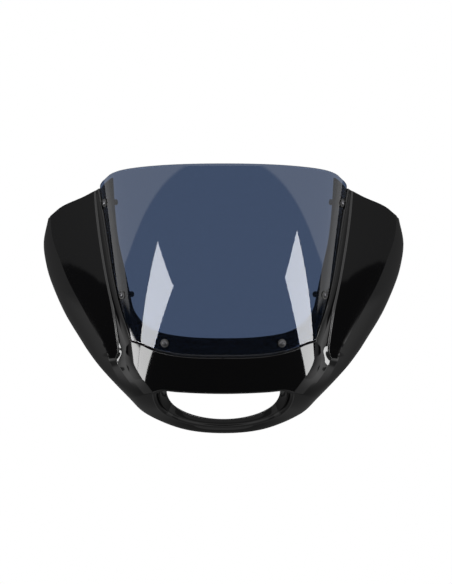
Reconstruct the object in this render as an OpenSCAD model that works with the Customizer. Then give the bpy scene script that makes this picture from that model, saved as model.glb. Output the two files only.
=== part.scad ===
// Motorcycle headlight fairing: a one-piece gloss black shell with a smoked windscreen held by six screws.
// The shell and the windscreen are lofted in a mould frame, where X is the rider's right, Y runs up along the
// windscreen's centreline and Z is its outward normal. place_on_bike() leans that frame back to the rake.

/* [Windscreen] */
// Lean of the windscreen's centreline from level, in degrees
rake = 50; // [44:1:56]
// Thickness of the windscreen sheet
screen_wall = 3; // [2:0.5:4]
// Depth of the windscreen's bow from its middle to where its side would point straight back
screen_bow = 98; // [88:1:108]
// How much the bow gains for each millimetre up the windscreen
bow_taper = 0.06; // [0.03:0.01:0.09]
// Half width of the bow at the height of the mould's origin
screen_half = 193; // [185:1:201]
// How much that half width gains for each millimetre up the windscreen
half_taper = 0.137; // [0.12:0.001:0.15]
// Height of the windscreen's top edge at the middle, above the mould's origin
screen_top = 211; // [206:1:221]
// Clearance round the windscreen's edge in its recess
screen_gap = 2; // [1.5:0.5:4]

/* [Shell] */
// Wall of the moulding
shell_wall = 3; // [2.5:0.25:3.5]
// Depth of the recessed panel in each wing
inset_depth = 2; // [1:0.5:3.5]
// Width of the rounded step round that panel
inset_step = 2.5; // [2:0.5:4]
// Outward crown of the wing panel
wing_crown = 1; // [0:0.5:3]
// Upward crown of the wing's top edge
top_crown = 6; // [2:0.5:9]
// Fall of the outer band at its crease, per millimetre outward
band_slope = 1.6; // [1.4:0.05:1.8]
// The same fall where the lower wing leaves the brow, beside the panel's tip
tip_slope = 1.2; // [1.1:0.05:1.3]
// The same fall beside the headlight
chin_slope = 1; // [0.8:0.05:1.1]
// Depth of the edge that turns back behind the outline
edge_return = 12; // [8:1:16]
// Height of the brow's lip below the mould's origin
brow_drop = 166; // [163:1:169]
// Depth of the return under the brow's lip
lip_return = 14; // [10:1:18]

/* [Headlight ring] */
// Radius of the bead's crest round the headlight
ring_r = 115.5; // [113:0.5:118]
// Radius of the rear rim, where the headlight's trim passes
rim_r = 95; // [90:0.5:98]
// Depth from the bead's crest to the rear rim beside the headlight
ring_depth = 17; // [12:1:22]
// The same depth under the headlight
ring_depth_low = 5; // [4:0.5:9]
// Height of the ring's centre below the mould's origin
ring_drop = 182.5; // [181:0.5:184]
// Setback of the ring's centre behind the windscreen's centreline
ring_setback = 45; // [42:0.5:48]
// Lean of the ring's plane from the mould's normal, in degrees
ring_lean = 28; // [26:0.5:30]
// Depth of the groove between the bead and the inner wall
groove_depth = 3; // [1:0.5:4]

/* [Windscreen screws] */
// Diameter of the screw's shank
screw_d = 5; // [4:0.5:6]
// Length of the shank under the head
screw_length = 20; // [16:1:22]
// Diameter of the domed head
head_d = 9.5; // [8:0.5:11]
// Height of the domed head
head_h = 2.8; // [2:0.1:3.5]
// Width across the flats of the key socket
socket_af = 3; // [2.5:0.5:4]
// Depth of the key socket
socket_depth = 1.6; // [1:0.1:2]
// Outer diameter of the washer
washer_d = 14; // [12:0.5:16]
// Thickness of the washer
washer_h = 1.2; // [0.8:0.1:2]
// Outer diameter of the rubber well nut's body
nut_d = 10; // [9:0.5:11]
// Length of the body behind its flange
nut_length = 20; // [17:1:22]
// Diameter of the well nut's flange
nut_flange_d = 14; // [12:0.5:16]
// Thickness of the well nut's flange, which spaces the windscreen off the shell
nut_flange_h = 1.6; // [1.2:0.1:2.4]
// Clearance between a fastener and the hole round it
hole_clearance = 0.5; // [0.2:0.1:1]

/* [Fork bracket bosses] */
// Distance between the bosses across the fairing
boss_span = 276; // [270:2:282]
// Distance between the bosses up the fairing
boss_rise = 38; // [34:1:42]
// Outer diameter of a boss
boss_d = 16; // [14:1:20]
// Height of the upper bosses below the windscreen's bow centre, on the bike
boss_drop = 152; // [149:1:155]
// Setback of the bosses' faces behind the mould's origin, on the bike
boss_face = -28; // [-34:1:-22]
// Outer diameter of the brass insert
insert_d = 9; // [8:0.5:10]
// Bore of the brass insert
insert_bore = 6; // [5:0.5:6]
// Length of the brass insert
insert_length = 12; // [8:1:14]

/* [Hidden] */
$fn = 48;

// Depth of the flange's face behind the windscreen's outer face
seat_depth = screen_wall + nut_flange_h;
// Depth of the mount's origin on the bike, from the mould's origin
mount_z = -boss_drop - boss_rise / 2;
// How far the windscreen's curve clears a well nut's flat flange at its rim
nut_relief = 0.4;
nut_seat_h = nut_flange_h - nut_relief;
// Width of the recess wall's slope
wall_draft = 1;
// The brow bends away below this height, at this radius
brow_bend_from = -90;
brow_bend_r = 2500;

// Rim of the recess beside the windscreen and then of the brow: bow angle, height, and lift off the bow
rim_side = [[76.8, 176, 2.5], [73.5, 131, 3], [72, 80, 3], [70.2, 29, 3], [66, -22, 2.5], [60.2, -64, 1.2],
            [58.6, -83, 0], [58, -120, 0], [43.6, -brow_drop - 0.8, 0]];
// Rim of the recess under the windscreen, from its corner to the middle
rim_foot = [[58.6, -83, 0], [49, -88.5, 0], [38.5, -98.5, 0], [21, -107, 0], [0, -108.5, 0]];
// Inner edge of the flange behind the windscreen, from the top down to the corner
hole_side = [[60, 192], [62, 131], [62, 85], [59, 40], [56.5, 0], [54.5, -28], [48.5, -49]];
// Inner edge of the flange, from the corner to the middle
hole_foot = [[48.5, -49], [42.5, -59.5], [33, -68.5], [17, -74.5], [0, -76]];
// Lip of the brow, from the ring to the middle
lip_line = [[43.6, -brow_drop - 0.8], [36, -brow_drop + 3.5], [26, -brow_drop + 2], [13, -brow_drop + 0.6],
            [0, -brow_drop]];
// Rounded top corner of the windscreen, from its middle to the recess
corner_line = [[65, 191.7], [71.2, 185.5], [74.8, 179]];
// Top edge of the windscreen, from the middle of its corner to its centreline
top_line = [[65, 191.7], [58, 199.5], [46, 205.4], [24, screen_top - 1.2], [0, screen_top]];

// Plane of the wing's panel: its height at the middle, its fall outward, its rise upward and its slight bow
panel_start = 159;
panel_sweep = 1.25;
panel_lean = 0.098;
panel_bow = 0.0001;
// How far the panel's tip dips behind that plane
tip_dip = 1.6;
function on_panel(p, dip = 0) =
    [p[0], p[1], panel_start - panel_sweep * p[0] + panel_lean * p[1] - panel_bow * pow(p[1], 2) - dip];
function panel_line(p) = [for (i = [0:len(p) - 1]) on_panel(p[i], i == len(p) - 1 ? tip_dip : 0)];
// Inner edge of that panel, from the top to its lower tip
inner_points = panel_line([[219.3, 174.2], [215.6, 131.4], [207.8, 76.3], [198, 23.1], [187, -27.1],
                           [179.3, -73.5], [176.3, -99.8], [178.5, -123]]);
// Outer crease of the panel
outer_points = panel_line([[312.7, 136], [308.1, 96.9], [292.4, 56], [273.7, 16.3], [243.4, -33.5],
                           [217.6, -74.9], [202.3, -100.2], [191.2, -126.4]]);
// Outline of the fairing as it is seen square to the windscreen
outline = [[317.8, 133, -231], [329.9, 90.3, -260], [325, 47.5, -264], [311.5, 9.3, -253],
           [287.2, -38.8, -231], [257.4, -81.2, -197], [235.8, -109.2, -170], [208, -138.3, -134],
           [163.4, -181.4, -113], [131.7, -211.9, -122], [70.1, -240.2, -150], [0, -249.1, -166]];

// Row of the recess where the windscreen's side starts to follow it, and how tightly its lower corner turns
side_from = 0.25;
corner_power = 8;

// Bow angle and height of each windscreen screw on the right
screw_spots = [[70.3, 151], [62.3, -5], [32.2, -84.5]];

// Rows of the lofts: beside the windscreen, beside the brow, round the ring and under the windscreen
side_rows = 18;
brow_rows = 7;
ring_rows = 14;
foot_rows = 12;
screen_rows = 18;
screen_columns = 16;
corner_row = 6;
brow_row = 8;
last_row = 11;

// Angle round the ring where its bead leaves the brow
ring_start = 9.8;
// Rows over which the bead settles onto the ring's plane
bead_settle = 0.8;
// Each line across the inner wall: share of the radius, share of the depth, and share of the groove's depth
wall_profile = [[0, 0, 0], [0.1, 0, -0.7], [0.25, 0.03, -0.5], [0.42, 0.12, 1], [0.56, 0.14, 0.1], [1, 1, 0]];
// Columns over which the groove and the bead grow from the lip's middle
groove_from = 7;
groove_over = 6;
// Rise and setback of the inner wall's corner beside the brow, as it leaves the ring
lip_corner = [0.4, 1.2, 2];
// Columns over which the lip's return turns into the ring's rear rim
lip_blend = 5;
// Rise of the lip's return
lip_rise = 4;
// Share of the rib's width by which its middle stands out
rib_crown = 0.06;
// Places across the panel between its rounded steps, as shares of its width
panel_steps = [0.32, 0.56, 0.8];
// Largest share of the panel's width that one step takes
max_step = 0.15;
// Share of the band's width at each line of its roll
band_steps = [0.35, 0.7, 1];
// Row where the panel ends, and the rows over which it fades out
tip_row = 7.05;
tip_fade = 0.3;
// Row where the lower wing starts to turn into one smooth roll, and the rows over which it does
chin_row = 6.8;
chin_fade = 1;
// Shares of that roll at which the panel's two lines continue
chin_shares = [0.28, 0.5];
// Row by which the top edge's own crown is gone, and the one by which the return has its full depth
crown_row = 0.9;
return_row = 1.5;
// Share of the return that the wing's tip keeps
tip_return = 0.3;
// Outward lean of the return over its depth
return_lean = 1.2;

// Rows and columns of the wall behind which the bosses stand, and a length that reaches past it
boss_first = side_rows + 3;
boss_rows = 9;
boss_columns = 10;
boss_reach = 90;
// How far a cutter passes beyond what it cuts
past = 1;
// Bore under an insert beyond its length
bore_relief = 3;

// Curve through a list of points, with one unit of t for each stretch
function curve(points, t) =
    let (last = len(points) - 1)
    let (i = min(max(floor(t), 0), last - 1))
    let (f = t - i)
    let (p1 = points[i], p2 = points[i + 1])
    let (p0 = i > 0 ? points[i - 1] : 2 * p1 - p2)
    let (p3 = i + 2 <= last ? points[i + 2] : p2[0] == 0 ? across_middle(p1) : 2 * p2 - p1)
    p1 + f * (p2 - p0) / 2 + f * f * (p0 - 2.5 * p1 + 2 * p2 - p3 / 2)
    + f * f * f * (p3 - p0 + 3 * (p1 - p2)) / 2;

// The same place on the other side of the middle, which keeps a curve level where it crosses
function across_middle(p) = [for (i = [0:len(p) - 1]) i == 0 ? -p[0] : p[i]];

function blend(a, b, t) = a + (b - a) * t;
function unit(v) = v / norm(v);
function ease(t) = let (s = min(max(t, 0), 1)) s * s * (3 - 2 * s);

// Bow of the windscreen: half width and depth at a height, and how far the brow falls away below it
function bow_half(y) = screen_half + half_taper * y;
function bow_depth(y) = screen_bow + bow_taper * y;
function brow_bend(y) = y < brow_bend_from ? -pow(y - brow_bend_from, 2) / (2 * brow_bend_r) : 0;
function brow_bend_slope(y) = y < brow_bend_from ? -(y - brow_bend_from) / brow_bend_r : 0;

// Outward normal of the bow at an angle and a height
function bow_normal(a, y) =
    unit([bow_depth(y) * sin(a),
          -bow_depth(y) * half_taper * pow(sin(a), 2)
          + bow_half(y) * cos(a) * (bow_taper * (1 - cos(a)) - brow_bend_slope(y)),
          bow_half(y) * cos(a)]);

// Point on the bow, lifted off it along its normal
function bow(a, y, lift) =
    [bow_half(y) * sin(a), y, -bow_depth(y) * (1 - cos(a)) + brow_bend(y)] + lift * bow_normal(a, y);

// Millimetres along the bow for each degree of its angle
function bow_scale(a, y) = norm([bow_half(y) * cos(a), bow_depth(y) * sin(a)]) * PI / 180;

// Ring: the frame of its plane, a point on it, and the crest of its bead
ring_centre = [0, -ring_drop, -ring_setback];
ring_up = [0, sin(ring_lean), cos(ring_lean)];
ring_back = [0, cos(ring_lean), -sin(ring_lean)];
function ring_point(angle, r, depth) =
    ring_centre + r * (cos(angle) * [1, 0, 0] + sin(angle) * ring_up) + depth * ring_back;
function ring_angle(t) = blend(ring_start, -90, (t - brow_row) / (last_row - brow_row));
brow_corner = bow(rim_side[brow_row][0], rim_side[brow_row][1], 0);
function bead(t) =
    let (joined = 1 - ease((t - brow_row) / bead_settle))
    let (start = ring_point(ring_start, ring_r, 0))
    ring_point(ring_angle(t), ring_r, 0) + joined * (brow_corner - start);

// Inner edge of the outer loft: the recess rim, the side of the brow and then the bead
function rim_chart(t) = curve(rim_side, t);
function rim_edge(c, lift) = bow(c[0], c[1], lift * c[2]);
function inner_edge(t) = t < brow_row ? rim_edge(rim_chart(t), t > corner_row ? 0 : 1) : bead(t);

// How deep the panel is at a row, which fades out at its lower tip
function panel_sink(t) = inset_depth * (1 - ease((t - tip_row + tip_fade) / tip_fade));

// Section of the outer loft at a row: rib, panel and rolled band
function roll(from, to, s, slope) =
    let (width = norm([to[0] - from[0], to[1] - from[1]]))
    let (knee = [to[0], to[1], from[2] - slope * width])
    pow(1 - s, 2) * from + 2 * s * (1 - s) * knee + s * s * to;
function lower_slope(t) = blend(tip_slope, chin_slope, ease(t - brow_row + 1));
function lower_roll(t, s) = roll(inner_edge(t), curve(outline, t), s, lower_slope(t));
// Below the panel both lines follow the lower roll down to the chin
panel_inner = concat(inner_points, [for (t = [brow_row:last_row]) lower_roll(t, chin_shares[0])]);
panel_outer = concat(outer_points, [for (t = [brow_row:last_row]) lower_roll(t, chin_shares[1])]);
function wing_section(t) =
    let (rim = inner_edge(t), inner = curve(panel_inner, t), outer = curve(panel_outer, t))
    let (edge = curve(outline, t), slope = blend(band_slope, chin_slope, ease(t - brow_row + 1)))
    let (width = norm(outer - inner), out = unit(cross(unit(outer - inner), row_run(t))))
    let (foot = min(inset_step / width, max_step), steps = concat(foot, panel_steps, 1 - foot))
    let (upper = concat([rim, blend(rim, inner, 0.5) + rib_crown * norm(inner - rim) * out, inner],
                        [for (s = steps)
                            blend(inner, outer, s) - panel_sink(t) * out + panel_rise(t, s, width, out)],
                        [outer],
                        [for (s = band_steps) roll(outer, edge, s, slope)]))
    let (shares = concat([0, chin_shares[0] / 2, chin_shares[0]],
                         [for (s = steps) blend(chin_shares[0], chin_shares[1], s)],
                         [chin_shares[1]],
                         [for (s = band_steps) blend(chin_shares[1], 1, s)]))
    let (settled = ease((t - chin_row) / chin_fade))
    concat([for (i = [0:len(upper) - 1]) blend(upper[i], lower_roll(t, shares[i]), settled)],
           [edge - return_share(t) * ([0, 0, edge_return] + return_lean * outward(t))]);
// Crown of the panel over its width, and of its top edge
function panel_rise(t, s, width, out) =
    4 * s * (1 - s) * wing_crown * width / 100 * out
    + top_crown * sin(180 * s * s) * (1 - ease(t / crown_row)) * [0, 1, 0];
// The return grows from a short hook at the wing's tip
function return_share(t) = blend(tip_return, 1, ease(t / return_row));
function row_run(t) = unit(curve(outline, t + 0.2) - curve(outline, t - 0.2));
function outward(t) = let (run = row_run(t)) unit([-run[1], run[0], 0]);

// Rows of the outer loft
wing_t = concat([for (i = [0:side_rows]) corner_row * i / side_rows],
                [for (i = [1:brow_rows]) corner_row + (brow_row - corner_row) * i / brow_rows],
                [for (i = [1:ring_rows]) brow_row + (last_row - brow_row) * i / ring_rows]);
wing_grid = [for (t = wing_t) [for (p = wing_section(t)) t == last_row ? [0, p[1], p[2]] : p]];

// Flange behind the windscreen and the wall of its recess
function rim_path(i) = i <= side_rows ? rim_chart(corner_row * i / side_rows)
                                      : curve(rim_foot, (len(rim_foot) - 1) * (i - side_rows) / foot_rows);
function hole_path(i) = i <= side_rows ? curve(hole_side, corner_row * i / side_rows)
                                       : curve(hole_foot, (len(hole_foot) - 1) * (i - side_rows) / foot_rows);
// Direction from the flange's inner edge to the rim, in millimetres along the bow
function inward(rim, hole, distance) =
    let (scale = bow_scale(rim[0], rim[1]))
    let (dir = unit([(hole[0] - rim[0]) * scale, hole[1] - rim[1]]))
    [rim[0] + distance * dir[0] / scale, rim[1] + distance * dir[1]];
function flange_section(i) =
    let (rim = rim_path(i), hole = hole_path(i), foot = inward(rim, hole, wall_draft))
    let (spots = [hole, blend(hole, foot, 0.33), blend(hole, foot, 0.67), foot])
    let (axis = i == side_rows + foot_rows ? 0 : 1)
    concat([for (p = spots) bow(p[0] * axis, p[1], -seat_depth)], [bow(rim[0] * axis, rim[1], rim[2])]);
flange_grid = [for (i = [0:side_rows + foot_rows]) flange_section(i)];

// Brow between the recess and its lip, blended from its four edges on the bow
function brow_chart(i, j) =
    let (s = i / brow_rows, r = j / foot_rows)
    let (side = rim_chart(corner_row + (brow_row - corner_row) * s))
    let (high = [0, rim_foot[len(rim_foot) - 1][1]], low = [0, -brow_drop], middle = blend(high, low, s))
    let (top = curve(rim_foot, (len(rim_foot) - 1) * r), lip = curve(lip_line, (len(lip_line) - 1) * r))
    let (top2 = [top[0], top[1]], side2 = [side[0], side[1]])
    let (corner = [rim_foot[0][0], rim_foot[0][1]])
    blend(top2, lip, s) + blend(side2, middle, r)
    - blend(blend(corner, high, r), blend(lip_line[0], low, r), s);
brow_grid = [for (i = [0:brow_rows]) [for (j = [0:foot_rows]) let (c = brow_chart(i, j)) bow(c[0], c[1], 0)]];

// Inner wall of the ring: its front loop from the middle of the lip round to the chin, and its rear rim
ring_total = foot_rows + ring_rows;
function lip_back(j) =
    let (c = curve(lip_line, (len(lip_line) - 1) * j / foot_rows))
    let (front = bow(c[0], c[1], 0), share = 1 - ease(j / lip_blend), along = front[0] - brow_corner[0])
    let (rear = rear_rim(ring_start) + [lip_corner[0] * along, lip_corner[1], lip_corner[2]])
    blend(front + [0, lip_rise, -lip_return], rear, share);
function ring_front(k) = k <= foot_rows ? brow_grid[brow_rows][foot_rows - k]
                                        : wing_grid[side_rows + brow_rows + k - foot_rows][0];
function ring_rear(k) = k < foot_rows ? lip_back(foot_rows - k)
    : rear_rim(ring_angle(brow_row + (last_row - brow_row) * (k - foot_rows) / ring_rows));
function rear_rim(angle) = ring_point(angle, rim_r, blend(ring_depth, ring_depth_low, max(-sin(angle), 0)));
function ring_section(k) =
    let (front = ring_front(k), rear = ring_rear(k), span = rear - front)
    let (deep = (span * ring_back) * ring_back, flat = span - deep)
    let (groove = groove_depth * ease((k - groove_from) / groove_over))
    [for (p = wall_profile) front + p[0] * flat + p[1] * deep + p[2] * groove * ring_back];
ring_grid = [for (k = [0:ring_total]) ring_section(k)];

// Normal at each point of a grid, from its neighbours, turned by side to point outward
function grid_normals(g, side) =
    let (m = len(g) - 1, n = len(g[0]) - 1)
    [for (i = [0:m]) [for (j = [0:n])
        side * unit(cross(unit(g[min(i + 1, m)][j] - g[max(i - 1, 0)][j]),
                          unit(g[i][min(j + 1, n)] - g[i][max(j - 1, 0)])))]];
wing_n = grid_normals(wing_grid, 1);
flange_n = grid_normals(flange_grid, 1);
brow_n = grid_normals(brow_grid, -1);
ring_n = grid_normals(ring_grid, -1);

// Normals along the edges that lofts share
lip_at = side_rows + brow_rows;
function flat_x(v, on) = on ? unit([0, v[1], v[2]]) : unit(v);
function wing_edge_n(i) =
    flat_x(wing_n[i][0] + (i <= side_rows ? flange_n[i][4] : [0, 0, 0])
           + (i >= side_rows && i <= lip_at ? brow_n[i - side_rows][0] : [0, 0, 0])
           + (i >= lip_at ? ring_n[foot_rows + i - lip_at][0] : [0, 0, 0]), i == len(wing_t) - 1);
function foot_edge_n(j) = flat_x(flange_n[side_rows + j][4] + brow_n[0][j], j == foot_rows);
function lip_edge_n(j) = flat_x(brow_n[brow_rows][j] + ring_n[foot_rows - j][0], j == foot_rows);

wing_all_n = [for (i = [0:len(wing_t) - 1]) [for (j = [0:len(wing_grid[0]) - 1])
    j == 0 ? wing_edge_n(i) : flat_x(wing_n[i][j], i == len(wing_t) - 1)]];
flange_all_n = [for (i = [0:side_rows + foot_rows]) [for (j = [0:4])
    j < 4 ? flat_x(flange_n[i][j], i == side_rows + foot_rows)
          : i <= side_rows ? wing_edge_n(i) : foot_edge_n(i - side_rows)]];
brow_all_n = [for (i = [0:brow_rows]) [for (j = [0:foot_rows])
    j == 0 ? wing_edge_n(side_rows + i) : i == 0 ? foot_edge_n(j) : i == brow_rows ? lip_edge_n(j)
           : flat_x(brow_n[i][j], j == foot_rows)]];
ring_all_n = [for (k = [0:ring_total]) [for (j = [0:len(wall_profile) - 1])
    j > 0 ? flat_x(ring_n[k][j], k == 0 || k == ring_total)
          : k < foot_rows ? lip_edge_n(foot_rows - k) : wing_edge_n(lip_at + k - foot_rows)]];

// Faces of a closed wall from grids: each grid's front, its back, and the rims along its open edges
function pushed(g, n, distance) =
    [for (i = [0:len(g) - 1]) [for (j = [0:len(g[0]) - 1]) g[i][j] - distance * n[i][j]]];
function cell(a, b, c, d, turn) = turn ? [[a, b, c], [a, c, d]] : [[a, c, b], [a, d, c]];
function sheet(g, turn) = [for (i = [0:len(g) - 2]) for (j = [0:len(g[0]) - 2])
    each cell(g[i][j], g[i][j + 1], g[i + 1][j + 1], g[i + 1][j], turn)];
function strip(a, b, turn) = [for (i = [0:len(a) - 2]) each cell(a[i], a[i + 1], b[i + 1], b[i], turn)];
function column(g, j) = [for (row = g) row[j]];
function mirrored(faces) = [for (f = faces) [for (p = [f[0], f[2], f[1]]) [-p[0], p[1], p[2]]]];
module solid_of(faces) {
    polyhedron(points = [for (f = faces) each f],
               faces = [for (k = [0:len(faces) - 1]) [3 * k, 3 * k + 2, 3 * k + 1]], convexity = 10);
}
module closed_wall(faces) {
    solid_of(concat(faces, mirrored(faces)));
}

function wall_faces(g, n, turn) =
    concat(sheet(g, turn), sheet(pushed(g, n, shell_wall), !turn));

module shell_wall_solid() {
    wing_in = pushed(wing_grid, wing_all_n, shell_wall);
    flange_in = pushed(flange_grid, flange_all_n, shell_wall);
    ring_in = pushed(ring_grid, ring_all_n, shell_wall);
    wing_last = len(wing_grid[0]) - 1;
    ring_last = len(wall_profile) - 1;
    closed_wall(concat(
        wall_faces(wing_grid, wing_all_n, false),
        wall_faces(flange_grid, flange_all_n, false),
        wall_faces(brow_grid, brow_all_n, true),
        wall_faces(ring_grid, ring_all_n, true),
        strip(wing_grid[0], wing_in[0], true),
        strip(column(wing_grid, wing_last), column(wing_in, wing_last), true),
        strip(flange_grid[0], flange_in[0], true),
        strip(column(flange_grid, 0), column(flange_in, 0), false),
        strip(column(ring_grid, ring_last), column(ring_in, ring_last), false)));
}

// Windscreen: its outline in the bow's chart, blended from its four edges
function recess_edge(t) = let (rim = rim_chart(t)) inward(rim, [rim[0] - 1, rim[1]], screen_gap);
side_corner = let (foot = rim_foot[0]) inward(foot, [foot[0] - 1, foot[1] + 1], screen_gap * sqrt(2));
side_points = concat(corner_line,
                     [for (t = [side_from:0.5:corner_row - 0.5]) recess_edge(t)], [side_corner]);
function foot_edge(r) =
    let (rim = curve(rim_foot, (len(rim_foot) - 1) * r))
    blend([rim[0], rim[1] + screen_gap], side_corner, pow(1 - r, corner_power));
function screen_chart(i, j) =
    let (s = i / screen_rows, r = j / screen_columns)
    let (side = curve(side_points, (len(side_points) - 1) * s))
    let (top = curve(top_line, (len(top_line) - 1) * r))
    let (foot = foot_edge(r), low = [0, rim_foot[len(rim_foot) - 1][1] + screen_gap])
    let (middle = [0, blend(screen_top, low[1], s)])
    blend(top, foot, s) + blend(side, middle, r)
    - blend(blend(top_line[0], [0, screen_top], r), blend(side_corner, low, r), s);
function screen_sheet(lift) = [for (i = [0:screen_rows]) [for (j = [0:screen_columns])
    let (c = screen_chart(i, j)) bow(j == screen_columns ? 0 : c[0], c[1], lift)]];
module screen_solid() {
    front = screen_sheet(0);
    back = screen_sheet(-screen_wall);
    closed_wall(concat(sheet(front, true), sheet(back, false),
                       strip(front[0], back[0], false),
                       strip(front[screen_rows], back[screen_rows], true),
                       strip(column(front, 0), column(back, 0), true)));
}

// Puts a child on the bow with its Z along the outward normal
module on_bow(spot, lift) {
    n = bow_normal(spot[0], spot[1]);
    translate(bow(spot[0], spot[1], lift)) rotate([0, acos(n[2]), atan2(n[1], n[0])]) children();
}
// Numbers 1 to 3 are on the right and 4 to 6 on the left
module at_screw(number) {
    spot = screw_spots[(number - 1) % 3];
    mirror([number > 3 ? 1 : 0, 0, 0]) on_bow(spot, 0) children();
}
module at_screws() {
    for (number = [1:6]) at_screw(number) children();
}

// Leans the mould frame back to the rake and brings the bracket pattern's middle to the origin
module place_on_bike() {
    translate([0, -boss_face, -mount_z]) rotate([rake, 0, 0]) children();
}
// Numbers 1 and 2 are the upper bosses, 3 and 4 the lower ones
module at_boss(number) {
    x = (number % 2 == 1 ? 1 : -1) * boss_span / 2;
    z = (number < 3 ? 1 : -1) * boss_rise / 2;
    translate([x, 0, z]) rotate([90, 0, 0]) children();
}

// Space behind the middle of the shell's wall beside the ring, which trims the bosses to the moulding
module behind_wall() {
    front = [for (i = [boss_first:boss_first + boss_rows]) [for (j = [0:boss_columns])
        wing_grid[i][j] - shell_wall / 2 * wing_all_n[i][j]]];
    back = [for (row = front) [for (p = row) p + boss_reach * [0, cos(rake), -sin(rake)]]];
    faces = concat(sheet(front, false), sheet(back, true),
                   strip(front[0], back[0], true), strip(front[boss_rows], back[boss_rows], false),
                   strip(column(front, 0), column(back, 0), false),
                   strip(column(front, boss_columns), column(back, boss_columns), true));
    solid_of(faces);
}
module bosses() {
    intersection() {
        for (number = [1, 3]) at_boss(number) cylinder(d = boss_d, h = boss_reach);
        place_on_bike() behind_wall();
    }
}

module shell() {
    color([0.05, 0.05, 0.055]) difference() {
        union() {
            place_on_bike() shell_wall_solid();
            bosses();
            mirror([1, 0, 0]) bosses();
        }
        for (number = [1:4]) at_boss(number) translate([0, 0, -past])
            cylinder(d = insert_d, h = insert_length + bore_relief + past);
        place_on_bike() at_screws() translate([0, 0, -nut_length])
            cylinder(d = nut_d + hole_clearance, h = nut_length);
    }
}

module windscreen() {
    color([0.25, 0.32, 0.42, 0.6]) place_on_bike() difference() {
        screen_solid();
        at_screws() translate([0, 0, -screen_wall - past])
            cylinder(d = screw_d + 2 * hole_clearance, h = screen_wall + 2 * past);
    }
}

// Profile of a domed head with its shank, about the screw's axis
module screw_profile() {
    dome_r = (pow(head_d / 2, 2) + pow(head_h, 2)) / (2 * head_h);
    intersection() {
        translate([0, head_h - dome_r]) circle(dome_r, $fn = 96);
        square([head_d / 2, head_h]);
    }
    translate([0, -screw_length]) square([screw_d / 2, screw_length + 0.01]);
}
module screw(number) {
    color([0.06, 0.06, 0.065]) place_on_bike() at_screw(number) translate([0, 0, washer_h]) difference() {
        rotate_extrude() screw_profile();
        translate([0, 0, head_h - socket_depth]) cylinder(d = socket_af / cos(30), h = head_h, $fn = 6);
    }
}
module washer(number) {
    color([0.09, 0.09, 0.09]) place_on_bike() at_screw(number) difference() {
        cylinder(d = washer_d, h = washer_h);
        translate([0, 0, -past]) cylinder(d = screw_d + hole_clearance, h = washer_h + 2 * past);
    }
}
// The flange lies between the windscreen and the shell, and the body hangs behind it
module well_nut(number) {
    color([0.1, 0.11, 0.13]) place_on_bike() at_screw(number) translate([0, 0, -screen_wall - nut_relief])
        difference() {
            union() {
                translate([0, 0, -nut_seat_h]) cylinder(d = nut_flange_d, h = nut_seat_h);
                translate([0, 0, -nut_seat_h - nut_length]) cylinder(d = nut_d, h = nut_length + 0.01);
            }
            translate([0, 0, -nut_length - nut_flange_h - past])
                cylinder(d = screw_d, h = nut_length + nut_flange_h + 2 * past);
        }
}
module insert(number) {
    color([0.72, 0.58, 0.28]) at_boss(number) difference() {
        cylinder(d = insert_d, h = insert_length);
        translate([0, 0, -past]) cylinder(d = insert_bore, h = insert_length + 2 * past);
    }
}

shell();
windscreen();
for (i = [1:6]) {
    screw(i);
    washer(i);
    well_nut(i);
}
for (i = [1:4]) {
    insert(i);
}
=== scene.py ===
"""Motorcycle headlight fairing: a gloss black moulding with a smoked windscreen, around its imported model.

Lengths are in millimetres in the mould frame, where X is across, Y runs up along the windscreen's centreline
and Z is its outward normal. Mould.place() leans that frame back on the motorcycle and turns it into metres.
"""

import logging
import math
from dataclasses import dataclass, field
from enum import Enum

import bmesh
import bpy
import numpy as np
from mathutils import Matrix, Vector
from mathutils.bvhtree import BVHTree

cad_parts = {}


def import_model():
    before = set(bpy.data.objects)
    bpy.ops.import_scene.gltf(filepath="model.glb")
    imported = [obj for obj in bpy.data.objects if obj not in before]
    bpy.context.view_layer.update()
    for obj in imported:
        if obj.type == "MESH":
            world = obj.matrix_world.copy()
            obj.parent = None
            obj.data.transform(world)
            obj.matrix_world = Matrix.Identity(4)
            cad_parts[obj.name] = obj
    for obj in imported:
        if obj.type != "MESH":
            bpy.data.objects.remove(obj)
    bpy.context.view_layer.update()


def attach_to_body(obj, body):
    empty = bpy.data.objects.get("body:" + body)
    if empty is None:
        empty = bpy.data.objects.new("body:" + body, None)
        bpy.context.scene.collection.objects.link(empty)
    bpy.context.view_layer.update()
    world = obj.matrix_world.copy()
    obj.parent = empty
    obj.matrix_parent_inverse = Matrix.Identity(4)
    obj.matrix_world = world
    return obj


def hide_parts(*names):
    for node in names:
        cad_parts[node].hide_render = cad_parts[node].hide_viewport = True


log = logging.getLogger("fairing")

MM = 0.001
IMAGE_W = 452
IMAGE_H = 584
BODY = "root"


def blend(a: np.ndarray | float, b: np.ndarray | float, t: float) -> np.ndarray | float:
    """Returns the value that lies the share t of the way from a to b."""
    return a + (b - a) * t


def unit(v: np.ndarray) -> np.ndarray:
    """Returns the vectors in v at length 1."""
    return v / np.maximum(np.linalg.norm(v, axis=-1, keepdims=True), 1e-12)


def ease(t: float) -> float:
    """Returns a smooth step from 0 to 1 as t goes from 0 to 1."""
    s = min(max(t, 0.0), 1.0)
    return s * s * (3 - 2 * s)


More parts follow.
